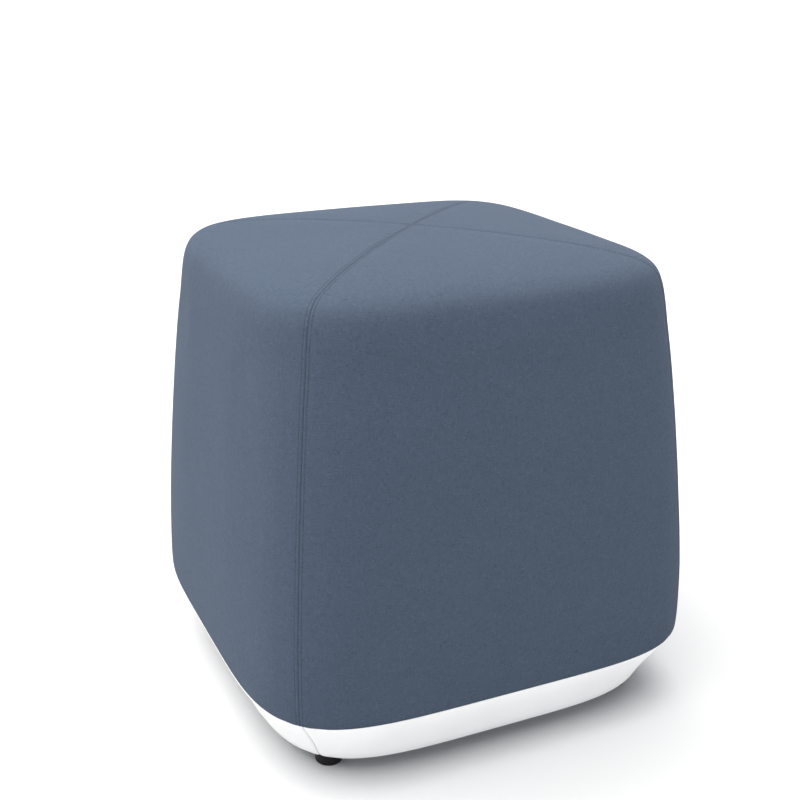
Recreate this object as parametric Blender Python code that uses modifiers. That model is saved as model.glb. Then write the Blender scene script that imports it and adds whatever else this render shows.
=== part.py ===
"""Cube pouf stool: a filled, sewn cube of four cloth panels on a low pale base with four round glides.

Metres, +Z up. The origin is on the floor under the middle of the pouf, and the front faces -Y.
The filled body is one warped sphere: its rings follow the stations of the side profile, and its
columns run close together beside the four seams, where the cloth is drawn in. The body is then
cut along the two upright diagonal planes and at the hem, which gives the sewn panels.
"""

import math
from collections import namedtuple

import bmesh
import bpy
import numpy as np
from mathutils import Vector

# Driving dimensions.
WIDTH = 0.448                 # across the widest part, just above the hem
HEIGHT = 0.455                # floor to the middle of the seat
HEM_HEIGHT = 0.070            # floor to the seam between cover and base
GLIDE_HEIGHT = 0.015          # floor to the underside of the base
GLIDE_DIAMETER = 0.028
GLIDE_OUT = 0.154             # a glide's centre from the middle, along X and along Y alike
PIECE_GAP = 0.0003            # between neighbouring pieces

# At the hem the cloth is drawn in: how deep, and how far above and below that is felt.
HEM_SINK = 0.0012
HEM_REACH = 0.0045

HALF = WIDTH / 2

# Side profile through the middle of a panel, from the seat's middle to the middle of the underside.
# Squareness is the exponent of the level outline: 2 is a circle, and more is squarer.
Station = namedtuple("Station", "name half_width height squareness steps")
STATIONS = (
    Station("seat_middle", 0.0, HEIGHT, 5.8, 4),
    Station("seat", 0.0943, HEIGHT - 0.0036, 5.8, 3),
    Station("seat_edge", 0.1530, HEIGHT - 0.0110, 5.8, 3),
    Station("shoulder", 0.1812, HEIGHT - 0.0195, 5.3, 3),
    Station("below_shoulder", 0.1931, HEIGHT - 0.0314, 4.8, 3),
    Station("high_side", 0.2020, HEIGHT - 0.0815, 4.8, 3),
    Station("upper_side", 0.2092, HEIGHT - 0.1422, 4.9, 3),
    Station("middle_side", HALF - 0.0076, HEIGHT - 0.2320, 5.2, 3),
    Station("low_side", HALF - 0.0022, HEIGHT - 0.3219, 5.4, 3),
    Station("above_hem", HALF, HEM_HEIGHT + HEM_REACH, 5.0, 3),
    Station("hem", HALF - 0.0001, HEM_HEIGHT, 4.8, 3),
    Station("below_hem", HALF - 0.0016, HEM_HEIGHT - HEM_REACH, 4.6, 2),
    Station("tuck", 0.2073, 0.0370, 4.4, 2),
    Station("low_tuck", 0.2000, GLIDE_HEIGHT + 0.0065, 4.4, 3),
    Station("under_edge", 0.1950, GLIDE_HEIGHT, 4.4, 1),
    Station("underside", 0.1600, GLIDE_HEIGHT, 4.4, 3),
    Station("underside_middle", 0.0, GLIDE_HEIGHT, 4.4, 1),
)

# Beside a seam the cloth is drawn in: how far from the seam, and how deep on cover and on base.
# On the cover a row of topstitching runs either side of the seam, and between them stands a welt.
SeamColumn = namedtuple("SeamColumn", "name distance cover_sink base_sink")
SEAM_COLUMNS = (
    SeamColumn("seam", 0.0, 0.0016, 0.0010),
    SeamColumn("welt", 0.0016, 0.0002, 0.0003),
    SeamColumn("topstitch", 0.0033, 0.0010, 0.0001),
    SeamColumn("beside_topstitch", 0.0052, 0.0001, 0.0),
    SeamColumn("panel", 0.0090, 0.0, 0.0),
)

# Columns from a panel's middle, at angle 0, to its seam: even ones first, then the seam's own.
FIELD_COLUMNS = 7
FIELD_ANGLE = math.radians(40)
SEAM_ANGLE = math.radians(45)
PANELS = 4

# The glide: a flange against the base, and below it a foot that is a little narrower.
FLANGE_THICKNESS = 0.0030
FLANGE_CHAMFER = 0.0006
FOOT_RADIUS = GLIDE_DIAMETER / 2 - 0.0010
FOOT_EDGE = 0.0020
GLIDE_SIDES = 32
MERGE_DISTANCE = 0.0001

# Looks: base colour in linear light, metallic, roughness.
Finish = namedtuple("Finish", "name colour metallic roughness")
COVER_CLOTH = Finish("cover_cloth", (0.100, 0.134, 0.190), 0.0, 0.90)
BASE_CLOTH = Finish("base_cloth", (0.83, 0.83, 0.84), 0.0, 0.65)
GLIDE_PLASTIC = Finish("glide_plastic", (0.006, 0.005, 0.006), 0.0, 0.45)


def clear_scene():
    """Remove what the file holds."""
    for old in list(bpy.data.objects):
        bpy.data.objects.remove(old, do_unlink=True)


def new_collection(name):
    """A collection of that name under the scene's own."""
    made = bpy.data.collections.new(name)
    bpy.context.scene.collection.children.link(made)
    return made


def new_material(finish):
    """A Principled material from a finish."""
    material = bpy.data.materials.new(finish.name)
    material.use_nodes = True
    shader = material.node_tree.nodes["Principled BSDF"]
    shader.inputs["Base Color"].default_value = (*finish.colour, 1.0)
    shader.inputs["Metallic"].default_value = finish.metallic
    shader.inputs["Roughness"].default_value = finish.roughness
    return material


def smooth_between(before, start, end, after, share):
    """Points from start to end on a centripetal Catmull-Rom curve, which passes through all four.

    Each chord counts by the square root of its length. The curve leaves and arrives along the
    slopes that its neighbours give, and a cubic joins them.
    """
    lead, span, trail = (math.sqrt(math.dist(a[:2], b[:2])) for a, b in
                         ((before, start), (start, end), (end, after)))
    leave = span * ((start - before) / lead - (end - before) / (lead + span) + (end - start) / span)
    arrive = span * ((end - start) / span - (after - start) / (span + trail) + (after - end) / trail)
    share = share[:, None]
    return (start + share * leave
            + share ** 2 * (3 * (end - start) - 2 * leave - arrive)
            + share ** 3 * (2 * (start - end) + leave + arrive))


def profile_rows():
    """Rows of half width, height and squareness down the side profile.

    A row's mirror image stands before the seat's middle, so the seat is level there. The flat
    underside is straight.
    """
    points = np.array([(s.half_width, s.height, s.squareness) for s in STATIONS])
    route = np.vstack([points[1] * (-1, 1, 1), points, points[-1] * (-1, 1, 1)])
    rows = []
    for index, station in enumerate(STATIONS[:-1]):
        before, start, end, after = route[index:index + 4]
        share = np.linspace(0, 1, station.steps, endpoint=False)
        if start[1] == end[1]:
            rows.append(start + share[:, None] * (end - start))
        else:
            rows.append(smooth_between(before, start, end, after, share))
    return np.vstack(rows + [points[-1:]])


def profile_normals(rows):
    """The outward direction of the profile at each row, as its parts along the half width and Z."""
    along = np.gradient(rows[:, :2], axis=0)
    along[0] = (1, 0)
    along[-1] = (-1, 0)
    normals = np.stack([-along[:, 1], along[:, 0]], axis=1)
    return normals / np.linalg.norm(normals, axis=1, keepdims=True)


def reach(half_width, squareness, angle):
    """How far the level outline |x|^n + |y|^n = half_width^n lies from the middle at an angle."""
    powers = np.abs(np.cos(angle)) ** squareness + np.abs(np.sin(angle)) ** squareness
    return half_width * powers ** (-1 / squareness)


def column_angle(step, half_width, squareness):
    """The angle of a column from its panel's middle, step 0, to the seam.

    Field columns are even. Seam columns keep their distance from the seam, and crowd together
    only near the middle of the seat and of the underside, where a panel is narrower than that.
    """
    field = FIELD_ANGLE * step / FIELD_COLUMNS
    crowded = FIELD_ANGLE + (SEAM_ANGLE - FIELD_ANGLE) * (step - FIELD_COLUMNS) / len(SEAM_COLUMNS)
    towards_seam = [column.distance for column in reversed(SEAM_COLUMNS)]
    distance = np.interp(step, np.arange(len(SEAM_COLUMNS)) + FIELD_COLUMNS + 1, towards_seam)
    corner = np.maximum(reach(half_width, squareness, SEAM_ANGLE), distance)
    spaced = SEAM_ANGLE - np.arcsin(distance / np.maximum(corner, PIECE_GAP))
    return np.where(step <= FIELD_COLUMNS, field, np.maximum(crowded, spaced))


def body_mesh():
    """The whole filled body as one closed mesh, a UV sphere warped to the profile."""
    rows = profile_rows()
    normals = profile_normals(rows)
    half_panel = FIELD_COLUMNS + len(SEAM_COLUMNS)
    columns = PANELS * 2 * half_panel
    bpy.ops.mesh.primitive_uv_sphere_add(segments=columns, ring_count=len(rows) - 1, radius=1)
    sphere = bpy.context.active_object
    mesh = sphere.data
    bpy.data.objects.remove(sphere)
    points = np.empty(len(mesh.vertices) * 3)
    mesh.vertices.foreach_get("co", points)
    points = points.reshape(-1, 3)

    from_pole = np.arccos(np.clip(points[:, 2], -1, 1)) / math.pi
    around = np.arctan2(points[:, 1], points[:, 0]) / (2 * math.pi)
    row = np.rint(from_pole * (len(rows) - 1)).astype(int)
    column = np.rint(around * columns).astype(int) % columns
    panel, within = np.divmod(column, 2 * half_panel)
    half_width, height, squareness = rows[row].T
    step = within - half_panel
    local = np.sign(step) * column_angle(np.abs(step), half_width, squareness)
    out = reach(half_width, squareness, local)

    seam_distance = out * np.sin(SEAM_ANGLE - np.abs(local))
    distances = [c.distance for c in SEAM_COLUMNS]
    cover_sink = np.interp(seam_distance, distances, [c.cover_sink for c in SEAM_COLUMNS])
    base_sink = np.interp(seam_distance, distances, [c.base_sink for c in SEAM_COLUMNS])
    hem_sink = HEM_SINK * np.clip(1 - np.abs(height - HEM_HEIGHT) / HEM_REACH, 0, 1)
    sink = np.maximum(np.where(height >= HEM_HEIGHT, cover_sink, base_sink), hem_sink)

    angle = local + panel * 2 * SEAM_ANGLE
    out = out - sink * normals[row, 0]
    height = height - sink * normals[row, 1]
    points = np.stack([out * np.cos(angle), out * np.sin(angle), height], axis=1)
    mesh.vertices.foreach_set("co", points.ravel())
    mesh.update()
    return mesh


def cut_away(shape, point, normal):
    """Cut a closed shape on a plane, drop what lies on the normal's side, and close the cut."""
    everything = shape.verts[:] + shape.edges[:] + shape.faces[:]
    cut = bmesh.ops.bisect_plane(
        shape, geom=everything, dist=1e-7, plane_co=point, plane_no=normal, clear_outer=True
    )
    rim = [part for part in cut["geom_cut"] if isinstance(part, bmesh.types.BMEdge)]
    bmesh.ops.edgeloop_fill(shape, edges=rim)


def panel_mesh(body, name, upper):
    """The panel that faces +X: the part of the body between two seams, above or below the hem."""
    shape = bmesh.new()
    shape.from_mesh(body)
    for side in (-1, 1):
        seam_normal = Vector((-1, side, 0)).normalized()
        cut_away(shape, -seam_normal * PIECE_GAP / 2, seam_normal)
    direction = -1 if upper else 1
    hem = Vector((0, 0, HEM_HEIGHT - direction * PIECE_GAP / 2))
    cut_away(shape, hem, Vector((0, 0, direction)))
    bmesh.ops.recalc_face_normals(shape, faces=shape.faces[:])
    mesh = bpy.data.meshes.new(name)
    shape.to_mesh(mesh)
    shape.free()
    mesh.shade_smooth()
    mesh.set_sharp_from_angle(angle=math.radians(50))
    return mesh


def glide_mesh():
    """A glide's half outline, standing on its own origin, from the middle of its top down its side.

    A flange lies against the base, and below it stands a foot with a rounded lower edge.
    """
    radius = GLIDE_DIAMETER / 2
    top = GLIDE_HEIGHT - PIECE_GAP
    profile = [
        (0, top),
        (radius - FLANGE_CHAMFER, top),
        (radius, top - FLANGE_CHAMFER),
        (radius, top - FLANGE_THICKNESS),
        (FOOT_RADIUS, top - FLANGE_THICKNESS - FLANGE_CHAMFER),
    ]
    turn = np.linspace(0, math.pi / 2, 5)
    profile += [
        (FOOT_RADIUS - FOOT_EDGE * (1 - math.cos(a)), FOOT_EDGE * (1 - math.sin(a))) for a in turn
    ]
    profile.append((0, 0))
    mesh = bpy.data.meshes.new("glide")
    edges = [(index, index + 1) for index in range(len(profile) - 1)]
    mesh.from_pydata([(x, 0, z) for x, z in profile], edges, [])
    return mesh


def turn_profile(piece):
    """Sweep a piece's profile round Z."""
    screw = piece.modifiers.new("turned", "SCREW")
    screw.steps = GLIDE_SIDES
    screw.render_steps = GLIDE_SIDES
    screw.use_merge_vertices = True
    screw.merge_threshold = MERGE_DISTANCE
    screw.use_smooth_shade = True


def add_piece(name, mesh, material, collection):
    """An object for a mesh, in the pouf's collection."""
    piece = bpy.data.objects.new(name, mesh)
    if not mesh.materials:
        mesh.materials.append(material)
    collection.objects.link(piece)
    return piece


def build():
    """Make the eight panels and the four glides."""
    clear_scene()
    pouf = new_collection("cube_pouf_stool")
    body = body_mesh()
    sides = (("right", 0), ("back", 90), ("left", 180), ("front", 270))
    for kind, finish, upper in (("cover", COVER_CLOTH, True), ("base", BASE_CLOTH, False)):
        mesh = panel_mesh(body, kind + "_panel", upper)
        material = new_material(finish)
        for side, turn in sides:
            piece = add_piece(f"{kind}_panel_{side}", mesh, material, pouf)
            piece.rotation_euler.z = math.radians(turn)
    bpy.data.meshes.remove(body)

    glide = glide_mesh()
    plastic = new_material(GLIDE_PLASTIC)
    corners = (("front_left", -1, -1), ("front_right", 1, -1), ("back_right", 1, 1), ("back_left", -1, 1))
    for corner, x, y in corners:
        piece = add_piece("glide_" + corner, glide, plastic, pouf)
        piece.location = (x * GLIDE_OUT, y * GLIDE_OUT, 0)
        turn_profile(piece)


build()
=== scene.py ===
# %% [markdown]
# # A cube pouf stool
# A pouf is a firm foam cube in a sewn cloth cover. This one has a slate-blue cover of four
# panels, each a side and its triangle of the seat cut in one, so the seams cross on the seat and
# run down the corners. Below the hem a pale coated cloth covers the base, which stands on four
# small black glides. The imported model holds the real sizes. This script dresses it: each panel
# and glide here stands where a solid of that model stands, and only the stitches are new.

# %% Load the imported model
import math
from collections import namedtuple

import bmesh
import bpy
import numpy as np
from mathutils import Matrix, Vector


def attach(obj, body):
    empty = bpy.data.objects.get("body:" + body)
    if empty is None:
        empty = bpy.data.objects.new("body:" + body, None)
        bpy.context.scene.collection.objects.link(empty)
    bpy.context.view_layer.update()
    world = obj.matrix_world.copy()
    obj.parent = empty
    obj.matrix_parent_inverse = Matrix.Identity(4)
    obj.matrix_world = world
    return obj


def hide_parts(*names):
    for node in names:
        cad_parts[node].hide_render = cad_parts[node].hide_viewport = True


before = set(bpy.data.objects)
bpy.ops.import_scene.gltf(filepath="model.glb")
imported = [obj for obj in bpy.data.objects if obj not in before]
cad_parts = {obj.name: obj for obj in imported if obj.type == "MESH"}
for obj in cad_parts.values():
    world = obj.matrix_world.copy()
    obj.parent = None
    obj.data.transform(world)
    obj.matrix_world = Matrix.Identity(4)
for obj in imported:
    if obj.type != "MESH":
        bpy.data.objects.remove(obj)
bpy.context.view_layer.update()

scene = bpy.context.scene

# %% [markdown]
# ## The camera
# The camera comes first, because every later choice is judged through it. Its place, its turn
# and its lens were found by fitting the pouf's own outline and seams to the picture. It looks
# down on the seat from the front, a little from the left, with the wide front panel on the
# right of the picture. No lens shift is needed.

# %% Camera
CAMERA_PLACE = (-0.4813, -1.0356, 0.6887)
CAMERA_AZIMUTH = math.radians(-24.355)
CAMERA_PITCH = math.radians(19.831)
CAMERA_LENS_MM = 54.504
SENSOR_MM = 36.0

camera_data = bpy.data.cameras.new("camera")
camera_data.lens = CAMERA_LENS_MM
camera_data.sensor_width = SENSOR_MM
camera_data.clip_end = 100
camera = bpy.data.objects.new("camera", camera_data)
camera.location = CAMERA_PLACE
camera.rotation_euler = (math.pi / 2 - CAMERA_PITCH, 0, CAMERA_AZIMUTH)
scene.collection.objects.link(camera)
scene.camera = camera
print("camera", CAMERA_PLACE, "lens", CAMERA_LENS_MM, "mm")

# %% [markdown]
# ## The side profile
# The pouf's form is one smooth surface. Cut it level at any height, and the outline is a rounded
# square. Cut it upright through the middle of a panel, and the outline is the side profile: a
# low crown, a soft shoulder, a side that leans out towards the hem, and a base that tucks in
# below it. A subdivision cage could make that form, but its points would not lie on the seams.
# So the profile is a short table of stations with a smooth curve through them, and everything
# sewn on the pouf is measured along that curve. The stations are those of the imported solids.

# %% Stations of the profile
WIDTH = 0.448
HEIGHT = 0.455
HEM_HEIGHT = 0.070
GLIDE_HEIGHT = 0.015
GLIDE_DIAMETER = 0.028
GLIDE_OUT = 0.154
HEM_REACH = 0.0045
PIECE_GAP = 0.0003
HALF = WIDTH / 2

Station = namedtuple("Station", "name half_width height squareness")
STATIONS = (
    Station("seat_middle", 0.0, HEIGHT, 5.8),
    Station("seat", 0.0943, HEIGHT - 0.0036, 5.8),
    Station("seat_edge", 0.1530, HEIGHT - 0.0110, 5.8),
    Station("shoulder", 0.1812, HEIGHT - 0.0195, 5.3),
    Station("below_shoulder", 0.1931, HEIGHT - 0.0314, 4.8),
    Station("high_side", 0.2020, HEIGHT - 0.0815, 4.8),
    Station("upper_side", 0.2092, HEIGHT - 0.1422, 4.9),
    Station("middle_side", HALF - 0.0076, HEIGHT - 0.2320, 5.2),
    Station("low_side", HALF - 0.0022, HEIGHT - 0.3219, 5.4),
    Station("above_hem", HALF, HEM_HEIGHT + HEM_REACH, 5.0),
    Station("hem", HALF - 0.0001, HEM_HEIGHT, 4.8),
    Station("below_hem", HALF - 0.0016, HEM_HEIGHT - HEM_REACH, 4.6),
    Station("tuck", 0.2073, 0.0370, 4.4),
    Station("low_tuck", 0.2000, GLIDE_HEIGHT + 0.0065, 4.4),
    Station("under_edge", 0.1950, GLIDE_HEIGHT, 4.4),
    Station("underside", 0.1600, GLIDE_HEIGHT, 4.4),
    Station("underside_middle", 0.0, GLIDE_HEIGHT, 4.4),
)


# %% A smooth curve through the stations
SAMPLES_PER_SPAN = 48


def smooth_between(before, start, end, after, share):
    """Points from start to end on a centripetal Catmull-Rom curve.

    Each chord counts by the square root of its length. The curve leaves and arrives along the
    slopes that its neighbours give, and a cubic joins them. A level span stays straight.
    """
    if start[1] == end[1]:
        return start + share * (end - start)
    lead, span, trail = (math.sqrt(math.dist(a[:2], b[:2])) for a, b in
                         ((before, start), (start, end), (end, after)))
    leave = span * ((start - before) / lead - (end - before) / (lead + span)
                    + (end - start) / span)
    arrive = span * ((end - start) / span - (after - start) / (span + trail)
                     + (after - end) / trail)
    return (start + share * leave
            + share ** 2 * (3 * (end - start) - 2 * leave - arrive)
            + share ** 3 * (2 * (start - end) + leave + arrive))


def profile_curve():
    """The whole profile as closely spaced rows, and the distance of each along it.

    Half width, height and squareness are the columns. A row's mirror image stands before the
    first and after the last station, so the profile is level in the middle of the seat.
    """
    points = np.array([(s.half_width, s.height, s.squareness) for s in STATIONS])
    route = np.vstack([points[1] * (-1, 1, 1), points, points[-1] * (-1, 1, 1)])
    share = np.linspace(0, 1, SAMPLES_PER_SPAN, endpoint=False)[:, None]
    spans = [smooth_between(*route[i:i + 4], share) for i in range(len(points) - 1)]
    rows = np.vstack(spans + [points[-1:]])
    steps = np.linalg.norm(np.diff(rows[:, :2], axis=0), axis=1)
    return rows, np.concatenate([[0], np.cumsum(steps)])


PROFILE, ALONG = profile_curve()


def along_to(name):
    """How far down the profile a station lies."""
    return ALONG[SAMPLES_PER_SPAN * [s.name for s in STATIONS].index(name)]


HEM_ALONG = along_to("hem")
PROFILE_LENGTH = ALONG[-1]
print("seat's middle to hem, mm:", round(HEM_ALONG * 1000, 1))
print("the whole profile, mm:", round(PROFILE_LENGTH * 1000, 1))

# %% [markdown]
# ## The smooth body
# Two numbers name a place on the body: how far down the profile it lies, and its angle round
# the upright axis from the middle of its panel. The seams lie at 45 degrees either side. The
# normal comes from two small steps, one along each number, so relief such as a seam can be
# added straight up from the cloth.

# %% Points and normals of the smooth body
SEAM_ANGLE = math.pi / 4
ALONG_STEP = 0.0004
ANGLE_STEP = 0.0005
NO_LENGTH = 1e-13


def reach(half_width, squareness, angle):
    """How far the level outline |x|^n + |y|^n = half_width^n lies from the axis at an angle."""
    powers = np.abs(np.cos(angle)) ** squareness + np.abs(np.sin(angle)) ** squareness
    return half_width * powers ** (-1 / squareness)


def body_point(along, angle):
    """A point of the panel that faces +X: the profile's height, as far out as the outline."""
    half_width, height, squareness = (np.interp(along, ALONG, PROFILE[:, k]) for k in range(3))
    out = reach(half_width, squareness, angle)
    return np.stack([out * np.cos(angle), out * np.sin(angle), height], axis=-1)


def body_normal(along, angle):
    """The outward normal: the cross product of small central steps down and round the body.

    Where the steps round the body shrink to nothing, in the middle of seat and underside, the
    normal is upright.
    """
    down = body_point(np.minimum(along + ALONG_STEP, PROFILE_LENGTH), angle)
    down = down - body_point(np.maximum(along - ALONG_STEP, 0), angle)
    round_it = body_point(along, angle + ANGLE_STEP) - body_point(along, angle - ANGLE_STEP)
    normal = np.cross(down, round_it)
    length = np.linalg.norm(normal, axis=-1, keepdims=True)
    upright = np.zeros_like(normal)
    upright[..., 2] = np.where(along < PROFILE_LENGTH / 2, 1, -1)
    return np.where(length > NO_LENGTH, normal / np.maximum(length, NO_LENGTH), upright)


def seam_distance(along, angle):
    """How far a place lies from the seam plane of its panel, which stands at 45 degrees."""
    point = body_point(along, angle)
    return np.hypot(point[..., 0], point[..., 1]) * np.sin(SEAM_ANGLE - np.abs(angle))


def ramp(value, low, high):
    """Smoothstep: 0 up to low, 1 from high, and 3t^2 - 2t^3 between."""
    t = np.clip((value - low) / (high - low), 0, 1)
    return t * t * (3 - 2 * t)


print("corner of the hem, mm:", (body_point(HEM_ALONG, SEAM_ANGLE) * 1000).round(1))

# %% [markdown]
# ## Columns that follow the seams
# Cloth is plain over most of a panel and busy beside its seams, where rows of stitching lie
# parallel to the seam. Even columns would waste faces in the field and cut across the
# stitching. So the field gets even angles, and the last columns before a seam keep their
# distance from it, closer and closer together. Near the middle of the seat a panel is narrower
# than its seam allowance, and there they share the angle that is left.

# %% Columns of a panel
FIELD_ANGLE = math.radians(40)
COVER_SEAM_COLUMNS = np.array([9.0, 7.6, 6.4, 5.5, 4.9, 4.4, 4.0, 3.7, 3.5, 3.3, 3.1,
                               2.9, 2.6, 2.2, 1.8, 1.4, 1.05, 0.75, 0.5, 0.3, 0.15, 0.0]) / 1000
BASE_SEAM_COLUMNS = np.array([6.0, 4.2, 3.0, 2.2, 1.6, 1.2, 0.85, 0.55, 0.3, 0.15, 0.0]) / 1000


def panel_angles(along, field_columns, seam_columns):
    """Angles of a panel's columns at each row, from one seam to the other, as rows x columns.

    A seam column's angle is 45 degrees less the arcsine of its distance over the corner's
    reach, but never less than its even share of what the field columns leave.
    """
    half_width, _, squareness = (np.interp(along, ALONG, PROFILE[:, k]) for k in range(3))
    corner = np.maximum(reach(half_width, squareness, SEAM_ANGLE), seam_columns[0])[:, None]
    spaced = SEAM_ANGLE - np.arcsin(np.minimum(seam_columns / corner, 1))
    share = np.arange(1, len(seam_columns) + 1) / len(seam_columns)
    crowded = FIELD_ANGLE + (SEAM_ANGLE - FIELD_ANGLE) * share
    field = np.linspace(0, FIELD_ANGLE, field_columns + 1)
    half = np.hstack([np.tile(field, (len(along), 1)), np.maximum(spaced, crowded)])
    return np.hstack([-half[:, :0:-1], half])


print("columns beside a seam: cover", len(COVER_SEAM_COLUMNS), "base", len(BASE_SEAM_COLUMNS))

# %% [markdown]
# ## Sewn in: the cloth between its seams
# Foam pushes a cover out, and the seams hold it in. Blender's cloth solver can find that form:
# the cover starts a little smaller in the flat parts of its panels, the seams, the hem and the
# base are pinned, and a slight pressure swells the cloth while gravity is off. The mesh is a
# plain grid and not a remesh, because the pins have to lie on the seams. The cloth never goes
# inside the shape it starts from, for there the foam is, and how far it may swell is capped.
# What is kept is only the swell, a small height for each place on the body, so the finished
# cover can have far more points than the simulated one.

# %% Simulate the swell
SLACK = 0.0018
SWELL_CAP = 0.0026
FLAT_FROM_SEAM = (0.012, 0.085)
FLAT_FROM_HEM = (0.0, 0.080)
FLAT_FROM_SHOULDER = (0.010, 0.080)
SHOULDER_ALONG = along_to("shoulder")
SIM_ROWS = 46
SIM_BASE_ROWS = 7
SIM_COLUMNS = 24
SIM_FRAMES = 20
PRESSURE = 4.0
PANELS = 4
SIM_AROUND = PANELS * SIM_COLUMNS
AT_SEAM = 1e-6


def slackness(along, angle):
    """How much smaller the cover starts: 0 at seam, hem and shoulder, SLACK far from them."""
    from_seam = ramp(seam_distance(along, angle), *FLAT_FROM_SEAM)
    from_hem = ramp(HEM_ALONG - along, *FLAT_FROM_HEM)
    from_shoulder = ramp(np.abs(along - SHOULDER_ALONG), *FLAT_FROM_SHOULDER)
    return SLACK * from_seam * from_hem * from_shoulder


def around(point, panel):
    """Turn points of the panel that faces +X round to another panel, a quarter turn for each."""
    turn = panel * math.pi / 2
    x = point[..., 0] * np.cos(turn) - point[..., 1] * np.sin(turn)
    y = point[..., 0] * np.sin(turn) + point[..., 1] * np.cos(turn)
    return np.stack([x, y, point[..., 2]], axis=-1)


def closed_grid_faces(rows, columns):
    """Faces of rows of points round an axis, with a point before the first and after the last."""
    at = np.arange(rows * columns).reshape(rows, columns) + 1
    right = np.roll(at, -1, axis=1)
    quads = np.stack([at[:-1], at[1:], right[1:], right[:-1]], axis=-1).reshape(-1, 4)
    top = np.stack([np.zeros(columns, int), at[0], right[0]], axis=-1)
    bottom = np.stack([np.full(columns, rows * columns + 1), right[-1], at[-1]], axis=-1)
    return quads.tolist() + top.tolist() + bottom.tolist()


def simulated_swell():
    """Swell of the cover, rows down the profile by columns round the body, in metres."""
    cover_rows = np.linspace(0, HEM_ALONG, SIM_ROWS + 1)[1:]
    base_rows = np.linspace(HEM_ALONG, PROFILE_LENGTH, SIM_BASE_ROWS + 2)[1:-1]
    along = np.concatenate([cover_rows, base_rows])[:, None]
    column = np.arange(SIM_AROUND)
    panel = column // SIM_COLUMNS
    angle = (column % SIM_COLUMNS) / SIM_COLUMNS * math.pi / 2 - SEAM_ANGLE
    along, angle, panel = np.broadcast_arrays(along, angle, panel)
    normal = around(body_normal(along, angle), panel)
    start = around(body_point(along, angle), panel) - normal * slackness(along, angle)[..., None]
    top = [[0, 0, HEIGHT]]
    bottom = [[0, 0, GLIDE_HEIGHT]]
    points = np.vstack([top, start.reshape(-1, 3), bottom])
    mesh = bpy.data.meshes.new("swelling_cover")
    mesh.from_pydata(points.tolist(), [], closed_grid_faces(*along.shape))
    cover = bpy.data.objects.new("swelling_cover", mesh)
    scene.collection.objects.link(cover)
    held = cover.vertex_groups.new(name="held")
    pinned = (np.abs(np.abs(angle) - SEAM_ANGLE) < AT_SEAM) | (along >= HEM_ALONG)
    held.add([0, len(points) - 1] + (np.flatnonzero(pinned) + 1).tolist(), 1.0, "REPLACE")
    run_cloth(cover)
    moved = np.empty(len(points) * 3)
    evaluated = cover.evaluated_get(bpy.context.evaluated_depsgraph_get())
    evaluated.data.vertices.foreach_get("co", moved)
    moved = moved.reshape(-1, 3)[1:-1].reshape(start.shape)
    bpy.data.objects.remove(cover)
    bpy.data.meshes.remove(mesh)
    swell = ((moved - start) * normal).sum(axis=-1)[:SIM_ROWS]
    return np.vstack([np.zeros((1, SIM_AROUND)), np.clip(swell, 0, SWELL_CAP)])


def run_cloth(cover):
    """Cloth with pressure and no gravity, held at its pins, stepped through its frames."""
    cloth = cover.modifiers.new("cloth", "CLOTH")
    settings = cloth.settings
    settings.quality = 6
    settings.mass = 0.25
    settings.tension_stiffness = 200
    settings.compression_stiffness = 200
    settings.shear_stiffness = 80
    settings.bending_stiffness = 10
    settings.use_pressure = True
    settings.uniform_pressure_force = PRESSURE
    settings.vertex_group_mass = "held"
    settings.effector_weights.gravity = 0
    cloth.point_cache.frame_start = 1
    cloth.point_cache.frame_end = SIM_FRAMES
    for number in range(1, SIM_FRAMES + 1):
        scene.frame_set(number)


SWELL = simulated_swell()
scene.frame_set(1)
print("swell, mm: mean", round(SWELL.mean() * 1000, 2), "most", round(SWELL.max() * 1000, 2))


# %% Read the swell anywhere
def swell_at(along, angle, panel):
    """Bilinear reading of the swell grid: rows down the profile, columns round the body."""
    row = np.clip(along / HEM_ALONG, 0, 1) * SIM_ROWS
    column = (angle + SEAM_ANGLE) / (math.pi / 2) * SIM_COLUMNS + panel * SIM_COLUMNS
    row_low = np.minimum(row.astype(int), SIM_ROWS - 1)
    column_low = np.floor(column).astype(int)
    down, across = row - row_low, column - column_low
    low, high = column_low % SIM_AROUND, (column_low + 1) % SIM_AROUND
    upper = SWELL[row_low, low] * (1 - across) + SWELL[row_low, high] * across
    lower = SWELL[row_low + 1, low] * (1 - across) + SWELL[row_low + 1, high] * across
    return upper * (1 - down) + lower * down


halfway = swell_at(np.array(HEM_ALONG / 2), np.array(0.0), 0)
print("swell halfway down the right panel, mm:", round(float(halfway) * 1000, 2))

# %% [markdown]
# ## Relief: seams, welts and slight unevenness
# The cover's seams are pressed open and topstitched: the cloth dips into the seam, stands up a
# little over the folded allowance on each side, and dips again under each row of topstitching.
# The base's seams are plain, so there is one soft dip. Both are worked out from the distance to
# the seam alone. At the hem the cover's folded edge is barely rounded, and the base starts a
# step further in, below it. Along a seam the thread gathers the cloth a little, and the wide
# field of a panel is never quite even either. Those are sums of a few slow waves with seeded
# phases, so every panel differs and every run is the same.

# %% Seam, topstitch and hem relief
TOPSTITCH = 0.0032
TOPSTITCH_DEPTH = 0.00042
TOPSTITCH_BREADTH = 0.00040
WELT_HEIGHT = 0.00015
WELT_MIDDLE = 0.0018
WELT_BREADTH = 0.0010
Dip = namedtuple("Dip", "depth breadth")
COVER_SEAM = Dip(0.00045, 0.00040)
COVER_DRAW_IN = Dip(0.0001, 0.0050)
COVER_HEM = Dip(0.0004, 0.0006)
BASE_SEAM = Dip(0.0011, 0.0008)
BASE_DRAW_IN = Dip(0.0003, 0.0040)
BASE_HEM = Dip(0.0014, 0.0020)


def bell(value, middle, half_breadth):
    """A bell curve: 1 at its middle, and e^-1 at half_breadth either side."""
    return np.exp(-((value - middle) / half_breadth) ** 2)


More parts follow.
